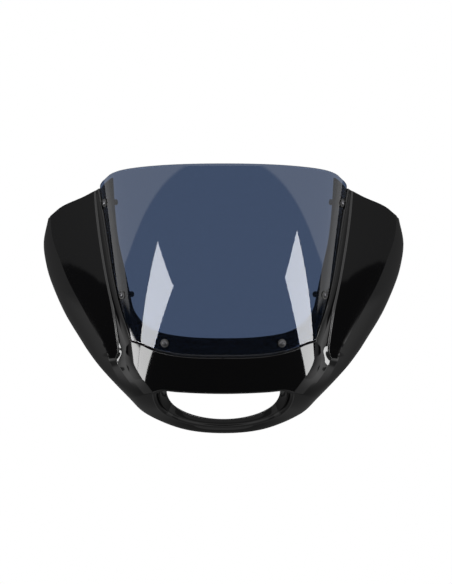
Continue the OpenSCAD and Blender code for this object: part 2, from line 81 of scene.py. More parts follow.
def curve(points: list, t: float) -> np.ndarray:
    """Finds a point on a smooth curve through a list of points.

    Args:
        points: the points, one unit of t apart. A last point on the middle plane is passed level.
        t: how far along the curve.

    Returns:
        The point on the curve.
    """
    p = np.asarray(points, float)
    last = len(p) - 1
    i = min(max(int(math.floor(t)), 0), last - 1)
    f = t - i
    p1, p2 = p[i], p[i + 1]
    p0 = p[i - 1] if i > 0 else 2 * p1 - p2
    if i + 2 <= last:
        p3 = p[i + 2]
    elif p2[0] == 0:
        p3 = p1 * np.array([-1.0] + [1.0] * (len(p1) - 1))
    else:
        p3 = 2 * p2 - p1
    return (p1 + f * (p2 - p0) / 2 + f * f * (p0 - 2.5 * p1 + 2 * p2 - p3 / 2)
            + f ** 3 * (p3 - p0 + 3 * (p1 - p2)) / 2)


def spaced(count: int, near: float, at_end: bool = True) -> np.ndarray:
    """Returns even steps from 0 to 1, with one more step close to each fold, where the shading turns."""
    extra = [near, 1 - near] if at_end else [near]
    return np.sort(np.concatenate([np.linspace(0, 1, count + 1), extra]))


@dataclass(frozen=True)
class Mould:
    """The mould frame's place on the motorcycle."""

    rake: float = 50.0
    boss_face: float = -28.0
    boss_drop: float = 152.0
    boss_rise: float = 38.0

    def turn(self, vectors: np.ndarray) -> np.ndarray:
        """Turns mould vectors into directions on the motorcycle.

        Args:
            vectors: vectors in the mould frame.

        Returns:
            The same vectors on the motorcycle.
        """
        v = np.asarray(vectors, float)
        c, s = math.cos(math.radians(self.rake)), math.sin(math.radians(self.rake))
        return np.stack([v[..., 0], v[..., 1] * c - v[..., 2] * s, v[..., 1] * s + v[..., 2] * c], -1)

    def place(self, points: np.ndarray) -> np.ndarray:
        """Returns mould points in millimetres as places on the motorcycle in metres."""
        return (self.turn(points) + np.array([0, -self.boss_face, self.boss_drop + self.boss_rise / 2])) * MM


@dataclass(frozen=True)
class Bow:
    """The bowed surface that the windscreen and the brow lie on, by bow angle in degrees and height."""

    half: float = 193.0
    depth: float = 98.0
    half_taper: float = 0.137
    depth_taper: float = 0.06
    bend_from: float = -90.0
    bend_r: float = 2500.0

    def spans(self, height: float) -> tuple[float, float]:
        """Returns the half width and the depth at a height."""
        return self.half + self.half_taper * height, self.depth + self.depth_taper * height

    def normal(self, angle: float, height: float) -> np.ndarray:
        """Finds the surface's normal.

        Args:
            angle: the bow angle in degrees.
            height: the height.

        Returns:
            The outward normal.
        """
        a = math.radians(angle)
        half, depth = self.spans(height)
        slope = -(height - self.bend_from) / self.bend_r if height < self.bend_from else 0.0
        return unit(np.array([
            depth * math.sin(a),
            -depth * self.half_taper * math.sin(a) ** 2
            + half * math.cos(a) * (self.depth_taper * (1 - math.cos(a)) - slope),
            half * math.cos(a)]))

    def point(self, angle: float, height: float, lift: float = 0.0) -> np.ndarray:
        """Finds a point on the surface or above it.

        Args:
            angle: the bow angle in degrees.
            height: the height.
            lift: the distance above the surface.

        Returns:
            The point.
        """
        a = math.radians(angle)
        half, depth = self.spans(height)
        bend = -((height - self.bend_from) ** 2) / (2 * self.bend_r) if height < self.bend_from else 0.0
        return (np.array([half * math.sin(a), height, -depth * (1 - math.cos(a)) + bend])
                + lift * self.normal(angle, height))

    def scale(self, angle: float, height: float) -> float:
        """Measures the surface across.

        Args:
            angle: the bow angle in degrees.
            height: the height.

        Returns:
            The millimetres along the surface for each degree.
        """
        a = math.radians(angle)
        half, depth = self.spans(height)
        return math.hypot(half * math.cos(a), depth * math.sin(a)) * math.pi / 180

    def inward(self, rim: np.ndarray, hole: np.ndarray, distance: float) -> np.ndarray:
        """Moves a place inward over the surface.

        Args:
            rim: a place on the rim, by bow angle and height.
            hole: the place to move towards.
            distance: the distance in millimetres.

        Returns:
            The new place, by bow angle and height.
        """
        scale = self.scale(rim[0], rim[1])
        way = unit(np.array([(hole[0] - rim[0]) * scale, hole[1] - rim[1]]))
        return np.array([rim[0] + distance * way[0] / scale, rim[1] + distance * way[1]])


@dataclass(frozen=True)
class Ring:
    """The ring round the headlight: its bead, its groove and its inner wall."""

    bead_r: float = 115.5
    rim_r: float = 95.0
    depth: float = 17.0
    depth_low: float = 5.0
    drop: float = 182.5
    setback: float = 45.0
    lean: float = 28.0
    start: float = 9.8
    groove: float = 3.0

    @property
    def back(self) -> np.ndarray:
        """Returns the direction into the ring."""
        a = math.radians(self.lean)
        return np.array([0, math.cos(a), -math.sin(a)])

    def point(self, angle: float, radius: float, depth: float) -> np.ndarray:
        """Finds a point of the ring.

        Args:
            angle: the angle round the ring in degrees.
            radius: the distance from the ring's axis.
            depth: the distance behind the bead's crest.

        Returns:
            The point.
        """
        a, lean = math.radians(angle), math.radians(self.lean)
        up = np.array([0, math.sin(lean), math.cos(lean)])
        return (np.array([0, -self.drop, -self.setback]) + depth * self.back
                + radius * (math.cos(a) * np.array([1.0, 0, 0]) + math.sin(a) * up))

    def rear(self, angle: float) -> np.ndarray:
        """Returns a point of the rear rim."""
        low = max(-math.sin(math.radians(angle)), 0.0)
        return self.point(angle, self.rim_r, blend(self.depth, self.depth_low, low))


@dataclass(frozen=True)
class Section:
    """Where a loft has its columns: shares of each stretch, and of the panel's rounded step."""

    rib: tuple
    step: tuple
    middle: tuple
    band: tuple
    back: tuple
    flange: tuple
    recess: tuple
    wall: tuple

    def panel(self, foot: float) -> list[float]:
        """Returns the columns across the panel as shares of its width, of which a step takes foot."""
        side = [s * foot for s in self.step]
        return side + [max(s, side[-1] + 0.01) for s in self.middle] + [1 - s for s in reversed(side)]


FINE = Section(
    rib=(0, 0.03, 0.08, 0.16, 0.28, 0.42, 0.56, 0.7, 0.82, 0.92, 0.97),
    step=(0, 0.12, 0.25, 0.4, 0.55, 0.7, 0.85, 1, 1.3),
    middle=tuple(np.linspace(0.21, 0.79, 14)),
    band=(0.01, 0.03, 0.08, 0.16, 0.25, 0.35, 0.45, 0.55, 0.65, 0.75, 0.84, 0.92, 1),
    back=(0.15, 0.4, 0.65, 0.9, 0.96, 1),
    flange=(0, 0.03, 0.25, 0.5, 0.75, 0.97, 1),
    recess=(0.12, 0.5, 0.88, 1),
    wall=tuple(np.linspace(0, 1, 36)),
)
COARSE = Section(
    rib=(0, 0.5), step=(0, 1), middle=(0.32, 0.56, 0.8), band=(0.35, 0.7, 1), back=(1,),
    flange=(0, 0.33, 0.67, 1), recess=(1,), wall=(0, 0.2, 0.4, 0.6, 0.8, 1),
)


@dataclass
class Form:
    """The lofted surfaces of the fairing, on the same lines as its solids."""

    bow: Bow = field(default_factory=Bow)
    ring: Ring = field(default_factory=Ring)
    wall: float = 3.0
    screen_wall: float = 3.0
    screen_gap: float = 2.0
    seat_depth: float = 4.6
    wall_draft: float = 1.0
    inset_depth: float = 2.0
    inset_step: float = 2.5
    max_step: float = 0.15
    wing_crown: float = 1.0
    panel_start: float = 159.0
    panel_sweep: float = 1.25
    panel_lean: float = 0.098
    panel_bow: float = 0.0001
    top_crown: float = 6.0
    crown_row: float = 0.9
    rib_crown: float = 0.06
    tip_dip: float = 1.6
    band_slope: float = 1.6
    tip_slope: float = 1.2
    chin_slope: float = 1.0
    chin_row: float = 6.8
    chin_fade: float = 1.0
    chin_shares: tuple = (0.28, 0.5)
    edge_return: float = 12.0
    return_row: float = 1.5
    tip_return: float = 0.3
    return_lean: float = 1.2
    lip_return: float = 14.0
    lip_rise: float = 4.0
    lip_corner: tuple = (0.4, 1.2, 2.0)
    lip_turn: float = 5 / 12
    crown_per: float = 100.0
    run_step: float = 0.2
    brow_drop: float = 166.0
    screen_top: float = 211.0
    corner_row: int = 6
    brow_row: int = 8
    last_row: int = 11
    tip_row: float = 7.05
    tip_fade: float = 0.3
    bead_settle: float = 0.8

    def __post_init__(self) -> None:
        """Sets the lines that the lofts pass through, as in the solids."""
        drop = self.brow_drop
        self.rim_side = [
            [76.8, 176, 2.5], [73.5, 131, 3], [72, 80, 3], [70.2, 29, 3], [66, -22, 2.5], [60.2, -64, 1.2],
            [58.6, -83, 0], [58, -120, 0], [43.6, -drop - 0.8, 0]]
        self.rim_foot = [[58.6, -83, 0], [49, -88.5, 0], [38.5, -98.5, 0], [21, -107, 0], [0, -108.5, 0]]
        self.hole_side = [[60, 192], [62, 131], [62, 85], [59, 40], [56.5, 0], [54.5, -28], [48.5, -49]]
        self.hole_foot = [[48.5, -49], [42.5, -59.5], [33, -68.5], [17, -74.5], [0, -76]]
        self.lip_line = [
            [43.6, -drop - 0.8], [36, -drop + 3.5], [26, -drop + 2], [13, -drop + 0.6], [0, -drop]]
        self.corner_line = [[65, 191.7], [71.2, 185.5], [74.8, 179]]
        self.top_line = [
            [65, 191.7], [58, 199.5], [46, 205.4], [24, self.screen_top - 1.2], [0, self.screen_top]]
        self.outline = [
            [317.8, 133, -231], [329.9, 90.3, -260], [325, 47.5, -264], [311.5, 9.3, -253],
            [287.2, -38.8, -231], [257.4, -81.2, -197], [235.8, -109.2, -170], [208, -138.3, -134],
            [163.4, -181.4, -113], [131.7, -211.9, -122], [70.1, -240.2, -150], [0, -249.1, -166]]
        self.panel_inner = self.panel_line([
            (219.3, 174.2), (215.6, 131.4), (207.8, 76.3), (198, 23.1), (187, -27.1), (179.3, -73.5),
            (176.3, -99.8), (178.5, -123)], self.chin_shares[0])
        self.panel_outer = self.panel_line([
            (312.7, 136), (308.1, 96.9), (292.4, 56), (273.7, 16.3), (243.4, -33.5), (217.6, -74.9),
            (202.3, -100.2), (191.2, -126.4)], self.chin_shares[1])
        self.wall_profile = [
            [0, 0, 0], [0.1, 0, -0.7], [0.25, 0.03, -0.5], [0.42, 0.12, 1], [0.56, 0.14, 0.1], [1, 1, 0]]

    def panel_line(self, places: list, share: float) -> list:
        """Follows an edge of the wing's panel, and then the lower roll down to the chin.

        Args:
            places: where the edge runs, across and up. The panel is flat across and slightly bowed along.
            share: the place on the lower roll at which the edge goes on.

        Returns:
            The points of the line, one for each row.
        """
        start, lean, bow, sweep = self.panel_start, self.panel_lean, self.panel_bow, self.panel_sweep
        line = [[x, y, start + lean * y - bow * y * y - sweep * x] for x, y in places]
        line[-1][2] -= self.tip_dip
        return line + [self.roll(self.inner_edge(t), self.outline[t], share, self.lower_slope(t)).tolist()
                       for t in range(self.brow_row, self.last_row + 1)]

    def ring_angle(self, t: float) -> float:
        """Returns the angle round the ring at a row."""
        return blend(self.ring.start, -90.0, (t - self.brow_row) / (self.last_row - self.brow_row))

    def brow_corner(self) -> np.ndarray:
        """Returns the corner where the brow's lip meets the ring."""
        return self.bow.point(self.rim_side[-1][0], self.rim_side[-1][1])

    def inner_edge(self, t: float) -> np.ndarray:
        """Finds the wing's inner edge.

        Args:
            t: the row.

        Returns:
            The crest beside the windscreen and the brow, and then the crest of the ring's bead.
        """
        if t < self.brow_row:
            c = curve(self.rim_side, t)
            return self.bow.point(c[0], c[1], 0 if t > self.corner_row else c[2])
        joined = 1 - ease((t - self.brow_row) / self.bead_settle)
        return (self.ring.point(self.ring_angle(t), self.ring.bead_r, 0)
                + joined * (self.brow_corner() - self.ring.point(self.ring.start, self.ring.bead_r, 0)))

    def lower_slope(self, t: float) -> float:
        """Returns the fall per millimetre outward at which the lower wing and the chin leave their crest."""
        return blend(self.tip_slope, self.chin_slope, ease(t - self.brow_row + 1))

    def roll(self, start: np.ndarray, end: np.ndarray, s: float, slope: float) -> np.ndarray:
        """Finds a point on a roll that ends square to the camera's view.

        Args:
            start: the crease.
            end: the outline.
            s: the share of the way.
            slope: the fall per millimetre outward at the crease.

        Returns:
            The point.
        """
        start, end = np.asarray(start, float), np.asarray(end, float)
        width = np.linalg.norm(end[:2] - start[:2])
        knee = np.array([end[0], end[1], start[2] - slope * width])
        return (1 - s) ** 2 * start + 2 * s * (1 - s) * knee + s * s * end

    def wing_section(self, t: float, cut: Section) -> np.ndarray:
        """Draws the outer loft's section at a row: rib, panel, rolled band and return.

        Args:
            t: the row.
            cut: where the columns lie.

        Returns:
            The points of the section.
        """
        rim, inner, outer = self.inner_edge(t), curve(self.panel_inner, t), curve(self.panel_outer, t)
        edge, step = curve(self.outline, t), self.run_step
        run = unit(curve(self.outline, t + step) - curve(self.outline, t - step))
        width = np.linalg.norm(outer - inner)
        out = unit(np.cross(unit(outer - inner), run))
        sink = self.inset_depth * (1 - ease((t - self.tip_row + self.tip_fade) / self.tip_fade))
        foot = min(self.inset_step / width, self.max_step)
        bulge = 4 * self.rib_crown * np.linalg.norm(inner - rim) * out
        crest = self.top_crown * (1 - ease(t / self.crown_row)) * np.array([0, 1.0, 0])
        section = [blend(rim, inner, s) + s * (1 - s) * bulge for s in cut.rib]
        for s in cut.panel(foot):
            rise = 4 * s * (1 - s) * self.wing_crown * width / self.crown_per
            rise -= sink * ease(min(s, 1 - s) / foot)
            section.append(blend(inner, outer, s) + rise * out + math.sin(math.pi * s * s) * crest)
        slope = blend(self.band_slope, self.chin_slope, ease(t - self.brow_row + 1))
        section += [self.roll(outer, edge, s, slope) for s in cut.band]
        back = blend(self.tip_return, 1.0, ease(t / self.return_row)) * (
            np.array([0, 0, self.edge_return]) + self.return_lean * unit(np.array([-run[1], run[0], 0])))
        section = np.array(section + [edge - s * back for s in cut.back])
        first, second = self.chin_shares
        shares = ([first * s for s in cut.rib] + [blend(first, second, s) for s in cut.panel(foot)]
                  + [blend(second, 1.0, s) for s in cut.band])
        chin = np.array([self.roll(rim, edge, s, self.lower_slope(t)) for s in shares])
        section[:len(chin)] = blend(section[:len(chin)], chin, ease((t - self.chin_row) / self.chin_fade))
        if t >= self.last_row:
            section[:, 0] = 0
        return section

    def flange_section(self, t: float, cut: Section) -> np.ndarray:
        """Draws the section of the flange and the recess wall.

        Args:
            t: the place, from 0 at the top, past 1 at the corner, to 2 in the middle.
            cut: where the columns lie.

        Returns:
            The points of the section.
        """
        if t <= 1:
            rim, hole = curve(self.rim_side, t * self.corner_row), curve(self.hole_side, t * self.corner_row)
        else:
            rim, hole = curve(self.rim_foot, (t - 1) * 4), curve(self.hole_foot, (t - 1) * 4)
        foot = self.bow.inward(rim, hole, self.wall_draft)
        side = 0 if t >= 2 else 1
        flat = [blend(hole[:2], foot, s) for s in cut.flange]
        low = self.bow.point(foot[0] * side, foot[1], -self.seat_depth)
        high = self.bow.point(rim[0] * side, rim[1], rim[2])
        return np.array([self.bow.point(c[0] * side, c[1], -self.seat_depth) for c in flat]
                        + [blend(low, high, s) for s in cut.recess])

    def brow_point(self, s: float, r: float) -> np.ndarray:
        """Finds a point of the brow.

        Args:
            s: the share of the way down from the windscreen.
            r: the share of the way from the side to the middle.

        Returns:
            The point.
        """
        side = curve(self.rim_side, self.corner_row + (self.brow_row - self.corner_row) * s)[:2]
        top, lip = curve(self.rim_foot, 4 * r)[:2], curve(self.lip_line, 4 * r)
        corner, middle = np.array(self.rim_foot[0][:2]), np.array(self.rim_foot[-1][:2])
        low = np.array([0, -self.brow_drop])
        c = (blend(top, lip, s) + blend(side, blend(middle, low, s), r)
             - blend(blend(corner, middle, r), blend(np.array(self.lip_line[0]), low, r), s))
        return self.bow.point(0 if r >= 1 else c[0], c[1])

    def ring_section(self, front: np.ndarray, rear: np.ndarray, share: float, cut: Section) -> np.ndarray:
        """Draws the section of the inner wall.

        Args:
            front: the point on the front loop.
            rear: the point on the rear loop.
            share: how much of the groove shows.
            cut: where the columns lie.

        Returns:
            The points of the section.
        """
        span = rear - front
        deep = np.dot(span, self.ring.back) * self.ring.back
        flat = span - deep
        shape = [curve(self.wall_profile, 5 * s) for s in cut.wall]
        return np.array([front + p[0] * flat + p[1] * deep + p[2] * self.ring.groove * share * self.ring.back
                         for p in shape])

    def lip_back(self, r: float) -> np.ndarray:
        """Finds the rear edge of the lip's return.

        Args:
            r: the share of the way from the ring to the middle.

        Returns:
            The point on the rear edge.
        """
        c = curve(self.lip_line, 4 * r)
        front = self.bow.point(c[0], c[1])
        along, rise, setback = self.lip_corner
        along *= front[0] - self.brow_corner()[0]
        rear = self.ring.rear(self.ring.start) + np.array([along, rise, setback])
        middle = front + np.array([0, self.lip_rise, -self.lip_return])
        return blend(middle, rear, 1 - ease(r / self.lip_turn))


@dataclass
class Lofts:
    """The four lofts of the shell at one set of rows: outer, flange, brow and ring."""

    form: Form
    side_rows: int = 84
    brow_rows: int = 34
    ring_rows: int = 64
    foot_rows: int = 60
    near: float = 0.006
    groove_from: float = 7 / 12
    groove_fade: float = 0.5
    groove_joint: float = 5 / 6
    groove_ring: float = 7 / 3

    def __post_init__(self) -> None:
        """Spaces the rows beside the windscreen, beside the brow, along the foot and round the ring."""
        self.side = spaced(self.side_rows, self.near / 3)
        self.down = spaced(self.brow_rows, 2 * self.near)
        self.foot = spaced(self.foot_rows, self.near, False)
        self.round = np.linspace(0, 1, self.ring_rows + 1)
        self.corner = len(self.side) - 1
        self.lip = self.corner + len(self.down) - 1
        self.start = len(self.foot) - 1

    def grids(self, cut: Section) -> dict[str, np.ndarray]:
        """Draws the lofts.

        Args:
            cut: where the columns lie.

        Returns:
            The points of each loft by row and column.
        """
        f = self.form
        rows = np.concatenate([f.corner_row * self.side,
                               blend(f.corner_row, f.brow_row, self.down)[1:],
                               blend(f.brow_row, f.last_row, self.round)[1:]])
        wing = np.array([f.wing_section(t, cut) for t in rows])
        flange = np.array([f.flange_section(t, cut) for t in np.concatenate([self.side, 1 + self.foot[1:]])])
        brow = np.array([[f.brow_point(s, r) for r in self.foot] for s in self.down])
        ring = []
        for j in reversed(range(1, len(self.foot))):
            r = self.foot[j]
            groove = ease((1 - r - self.groove_from) / self.groove_fade)
            ring.append(f.ring_section(brow[-1][j], f.lip_back(r), groove, cut))
        for k, share in enumerate(self.round):
            rear = f.ring.rear(f.ring_angle(blend(f.brow_row, f.last_row, share)))
            groove = ease(self.groove_joint + self.groove_ring * share)
            ring.append(f.ring_section(wing[self.lip + k][0], rear, groove, cut))
        return {"wing": wing, "flange": flange, "brow": brow, "ring": np.array(ring)}

    def normals(self, grids: dict[str, np.ndarray]) -> dict[str, np.ndarray]:
        """Finds the normals of the lofts.

        Args:
            grids: the points of each loft.

        Returns:
            The outward normal at each point, shared along the edges where lofts meet.
        """
        turned = {"wing": 1, "flange": 1, "brow": -1, "ring": -1}
        n = {name: turned[name] * self.grid_normals(g) for name, g in grids.items()}
        corner, lip, start = self.corner, self.lip, self.start
        crest = n["wing"][:, 0].copy()
        crest[:corner + 1] += n["flange"][:corner + 1, -1]
        crest[corner:lip + 1] += n["brow"][:, 0]
        crest[lip:] += n["ring"][start:, 0]
        foot = n["flange"][corner:, -1] + n["brow"][0]
        foot[0] = crest[corner]
        edge = n["brow"][-1] + n["ring"][start::-1, 0]
        edge[0] = crest[lip]
        n["wing"][:, 0] = crest
        n["flange"][:corner + 1, -1] = crest[:corner + 1]
        n["flange"][corner:, -1] = foot
        n["brow"][0], n["brow"][-1] = foot, edge
        n["brow"][:, 0] = crest[corner:lip + 1]
        n["ring"][:start + 1, 0] = edge[::-1]
        n["ring"][start:, 0] = crest[lip:]
        for name, row in (("wing", -1), ("flange", -1), ("ring", -1), ("ring", 0)):
            n[name][row][:, 0] = 0
        n["brow"][:, -1, 0] = 0
        return {name: unit(v) for name, v in n.items()}

    @staticmethod
    def grid_normals(g: np.ndarray) -> np.ndarray:
        """Returns the normal at each point of one grid, from its neighbours."""
        down, along = np.gradient(g, axis=0), np.gradient(g, axis=1)
        return unit(np.cross(unit(down), unit(along)))


def new_object(name: str, points: list, faces: list, materials: list, sharp: float = 0.0) -> bpy.types.Object:
    """Makes a smooth mesh object and links it to the scene.

    Args:
        name: the object's name.
        points: its points in metres.
        faces: its faces, as indices of the points.
        materials: its material slots.
        sharp: the angle in degrees above which an edge is sharp. Faces then are also turned outward.

    Returns:
        The object.
    """
    mesh = bpy.data.meshes.new(name)
    mesh.from_pydata(points, [], faces)
    if sharp:
        turned = bmesh.new()
        turned.from_mesh(mesh)
        bmesh.ops.recalc_face_normals(turned, faces=turned.faces)
        turned.to_mesh(mesh)
        turned.free()
    mesh.polygons.foreach_set("use_smooth", np.ones(len(mesh.polygons), bool))
    if sharp:
        mesh.set_sharp_from_angle(angle=math.radians(sharp))
    for material in materials:
        mesh.materials.append(material)
    mesh.update()
    obj = bpy.data.objects.new(name, mesh)
    bpy.context.scene.collection.objects.link(obj)
    return obj


def attach(piece: bpy.types.Object, nodes: list) -> None:
    """Makes a piece ride on the body, in the place of its CAD nodes.

    Args:
        piece: the piece.
        nodes: the CAD nodes that it replaces, if any.
    """
    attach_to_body(piece, BODY)
    if nodes:
        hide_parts(*nodes)
    log.info("%s: %d faces for %s", piece.name, len(piece.data.polygons), ", ".join(nodes) or "no node")


class MeshMaker:
    """Collects quads from grids and turns them into one closed mesh."""

    def __init__(self) -> None:
        """Starts with no faces."""
        self.quads: list[np.ndarray] = []
        self.slots: list[np.ndarray] = []

    def sheet(self, g: np.ndarray, turn: bool, slot: int = 0) -> None:
        """Adds the faces of a grid.

        Args:
            g: points by row and column.
            turn: whether the faces look the other way.
            slot: the material slot of the faces.
        """
        q = np.stack([g[:-1, :-1], g[:-1, 1:], g[1:, 1:], g[1:, :-1]], 2).reshape(-1, 4, 3)
        self.quads.append(q if turn else q[:, ::-1])
        self.slots.append(np.full(len(q), slot))

    def strip(self, a: np.ndarray, b: np.ndarray, turn: bool, slot: int = 0) -> None:
        """Adds the faces between two lines of points."""
        self.sheet(np.stack([a, b]), turn, slot)

    def mesh(self, name: str, mould: Mould, materials: list) -> bpy.types.Object:
        """Mirrors the faces, joins their points and makes the object.

        Args:
            name: the object's name.
            mould: the frame that the points are in.
            materials: the object's material slots.

        Returns:
            The object, linked to the scene.
        """
        half = np.concatenate(self.quads)
        slots = np.concatenate(self.slots)
        other = half[:, ::-1] * np.array([-1, 1, 1])
        quads = np.concatenate([half, other])
        keys = np.round(quads.reshape(-1, 3), 4) + 0.0
        points, index = np.unique(keys, axis=0, return_inverse=True)
        faces = [tuple(dict.fromkeys(f)) for f in index.reshape(-1, 4).tolist()]
        kept = [k for k, f in enumerate(faces) if len(f) > 2]
        obj = new_object(name, mould.place(points).tolist(), [faces[k] for k in kept], materials)
        obj.data.polygons.foreach_set("material_index", np.concatenate([slots, slots])[kept].astype(np.int32))
        return obj


@dataclass
class Bosses:
    """The four bosses behind the shell for the fork bracket."""

    mould: Mould
    span: float = 276.0
    outer_r: float = 8.0
    bore_r: float = 4.5
    bore: float = 15.0
    fillet: float = 2.5
    fillet_line: tuple = ((0, 6.0), (0.3, 2.4), (1, -1.0))
    mouth: float = 0.4
    edge: float = 0.5
    round: int = 48

    def places(self) -> list:
        """Returns the middle of each boss's face in metres."""
        half = self.mould.boss_rise / 2
        return [(x * self.span / 2 * MM, 0, z * half * MM) for z in (1, -1) for x in (1, -1)]

    def add_to(self, shell: bpy.types.Object, slot: int) -> None:
        """Grows each boss onto the wall that stands in front of it.

        Args:
            shell: the moulding, which gets the bosses.
            slot: the material slot of their finish.
        """
        mesh, bore, outer, mouth, edge = shell.data, self.bore_r, self.outer_r, self.mouth, self.edge
        tree = BVHTree.FromPolygons([v.co for v in mesh.vertices], [p.vertices for p in mesh.polygons])
        profile = ((bore, False, -self.bore), (bore, False, -mouth), (bore + mouth, False, 0),
                   (outer - edge, False, 0), (outer, False, -edge),
                   *((outer + out * self.fillet, True, rise) for out, rise in self.fillet_line))
        grown = bmesh.new()
        for x, _, z in self.places():
            rings = []
            for r, on_wall, rise in profile:
                ring = []
                for a in np.linspace(0, 2 * math.pi, self.round, endpoint=False):
                    px, pz = x + r * MM * math.cos(a), z + r * MM * math.sin(a)
                    wall = tree.ray_cast(Vector((px, 0, pz)), Vector((0, -1, 0)))[0].y if on_wall else 0
                    ring.append(grown.verts.new((px, wall + rise * MM, pz)))
                rings.append(ring)
            for one, two in zip(rings, rings[1:]):
                for k in range(self.round):
                    grown.faces.new((one[k], one[k - 1], two[k - 1], two[k]))
            grown.faces.new(rings[0])
            grown.faces.new(rings[-1])
        bmesh.ops.recalc_face_normals(grown, faces=grown.faces)
        for face in grown.faces:
            face.material_index = slot
            face.smooth = True
        grown.from_mesh(mesh)
        grown.to_mesh(mesh)
        grown.free()


@dataclass
class Shell:
    """The one-piece moulding."""

    form: Form
    mould: Mould

    def build(self, outside: bpy.types.Material, inside: bpy.types.Material) -> bpy.types.Object:
        """Builds the moulding with its gloss face, its satin back and its bosses.

        Args:
            outside: the finish of the face.
            inside: the finish of the back.

        Returns:
            The shell's object.
        """
        lofts = Lofts(self.form)
        front = lofts.grids(FINE)
        rough = lofts.grids(COARSE)
        normals = lofts.normals(rough)
        maker = MeshMaker()
        back = {}
        for name, grid in front.items():
            pushed = rough[name] - self.form.wall * normals[name]
            back[name] = pushed if name == "brow" else self.spread(
                pushed, self.columns(name, COARSE), self.columns(name, FINE))
            turn = name in ("brow", "ring")
            maker.sheet(grid, turn)
            maker.sheet(back[name], not turn, 1)
        for name, cut, turn in (
                ("wing", np.s_[0], True), ("wing", np.s_[:, -1], True), ("flange", np.s_[0], True),
                ("flange", np.s_[:, 0], False), ("ring", np.s_[:, -1], False)):
            maker.strip(front[name][cut], back[name][cut], turn)
        shell = maker.mesh("fairing_shell", self.mould, [outside, inside])
        Bosses(self.mould).add_to(shell, 1)
        return shell

    @staticmethod
    def columns(name: str, cut: Section) -> np.ndarray:
        """Places the columns of a loft.

        Args:
            name: the loft.
            cut: where its columns lie on each stretch.

        Returns:
            The place of each column, as a count of stretches from the first.
        """
        if name == "flange":
            return np.array(list(cut.flange) + [1 + s for s in cut.recess])
        if name == "ring":
            return np.array(cut.wall)
        return np.array(list(cut.rib) + [1 + s for s in cut.panel(0.15)] + [2 + s for s in cut.band]
                        + [3 + s for s in cut.back])

    @staticmethod
    def spread(grid: np.ndarray, have: np.ndarray, want: np.ndarray) -> np.ndarray:
        """Returns a grid with its columns moved from the places it has to the places it wants."""
        return np.stack([[np.interp(want, have, row[:, k]) for row in grid] for k in range(3)], -1)


@dataclass
class Windscreen:
    """The formed sheet in its recess."""

    form: Form
    mould: Mould
    rows: int = 80
    columns: int = 72
    near: float = 0.0016
    chamfer: float = 0.4
    corner_power: int = 8

    def __post_init__(self) -> None:
        """Finds the line of the side edge, along the recess."""
        f = self.form
        corner = np.array(f.rim_foot[0][:2])
        self.side_corner = f.bow.inward(corner, corner + np.array([-1, 1]), f.screen_gap * math.sqrt(2))
        edge = [f.bow.inward(rim, rim - np.array([1, 0, 0]), f.screen_gap).tolist()
                for rim in (curve(f.rim_side, t) for t in np.arange(0.25, f.corner_row - 0.4, 0.5))]
        self.side_points = f.corner_line + edge + [self.side_corner.tolist()]

    def chart(self, s: float, r: float) -> np.ndarray:
        """Finds a place of the sheet on the bow.

        Args:
            s: the share of the way down from the top.
            r: the share of the way from the side to the middle.

        Returns:
            The bow angle and the height.
        """
        f = self.form
        side = curve(self.side_points, (len(self.side_points) - 1) * s)
        top, rim = curve(f.top_line, 4 * r), curve(f.rim_foot, 4 * r)
        foot = np.array([rim[0], rim[1] + f.screen_gap])
        foot = blend(foot, self.side_corner, (1 - r) ** self.corner_power)
        high, low = np.array([0, f.screen_top]), np.array([0, f.rim_foot[-1][1] + f.screen_gap])
        return (blend(top, foot, s) + blend(side, blend(high, low, s), r)
                - blend(blend(np.array(f.top_line[0]), high, r), blend(self.side_corner, low, r), s))

    def build(self, material: bpy.types.Material) -> bpy.types.Object:
        """Builds the sheet with its polished, lightly chamfered edge.

        Args:
            material: the finish.

        Returns:
            The windscreen's object.
        """
        f = self.form
        down, across = spaced(self.rows, self.near), spaced(self.columns, 1.5 * self.near, False)
        front = np.empty((len(down), len(across), 3))
        back = np.empty_like(front)
        for i, s in enumerate(down):
            for j, r in enumerate(across):
                c = self.chart(s, r)
                angle = 0 if j == len(across) - 1 else c[0]
                cut = self.chamfer if i in (0, len(down) - 1) or j == 0 else 0
                front[i, j] = f.bow.point(angle, c[1], -cut)
                back[i, j] = f.bow.point(angle, c[1], -f.screen_wall + cut)
        maker = MeshMaker()
        maker.sheet(front, True)
        maker.sheet(back, False)
        for cut, turn in ((np.s_[0], False), (np.s_[-1], True), (np.s_[:, 0], True)):
            maker.strip(front[cut], back[cut], turn)
        return maker.mesh("smoked_windscreen", self.mould, [material])


class Knots:
    """A node tree that is written as plain calls."""

    def __init__(self, tree: bpy.types.NodeTree) -> None:
        """Wraps a node tree."""
        self.tree = tree

    def node(self, kind: str, inputs: dict | None = None, **settings) -> bpy.types.Node:
        """Adds a node.

        Args:
            kind: the node's type name.
            inputs: a value, a Value or a socket for each input, by name or number.
            settings: the node's own settings.

        Returns:
            The node.
        """
        node = self.tree.nodes.new(kind)
        for key, value in settings.items():
            setattr(node, key, value)
        for key, value in (inputs or {}).items():
            if isinstance(value, Value):
                value = value.socket
            if isinstance(value, bpy.types.NodeSocket):
                self.tree.links.new(value, node.inputs[key])
            else:
                node.inputs[key].default_value = value
        return node


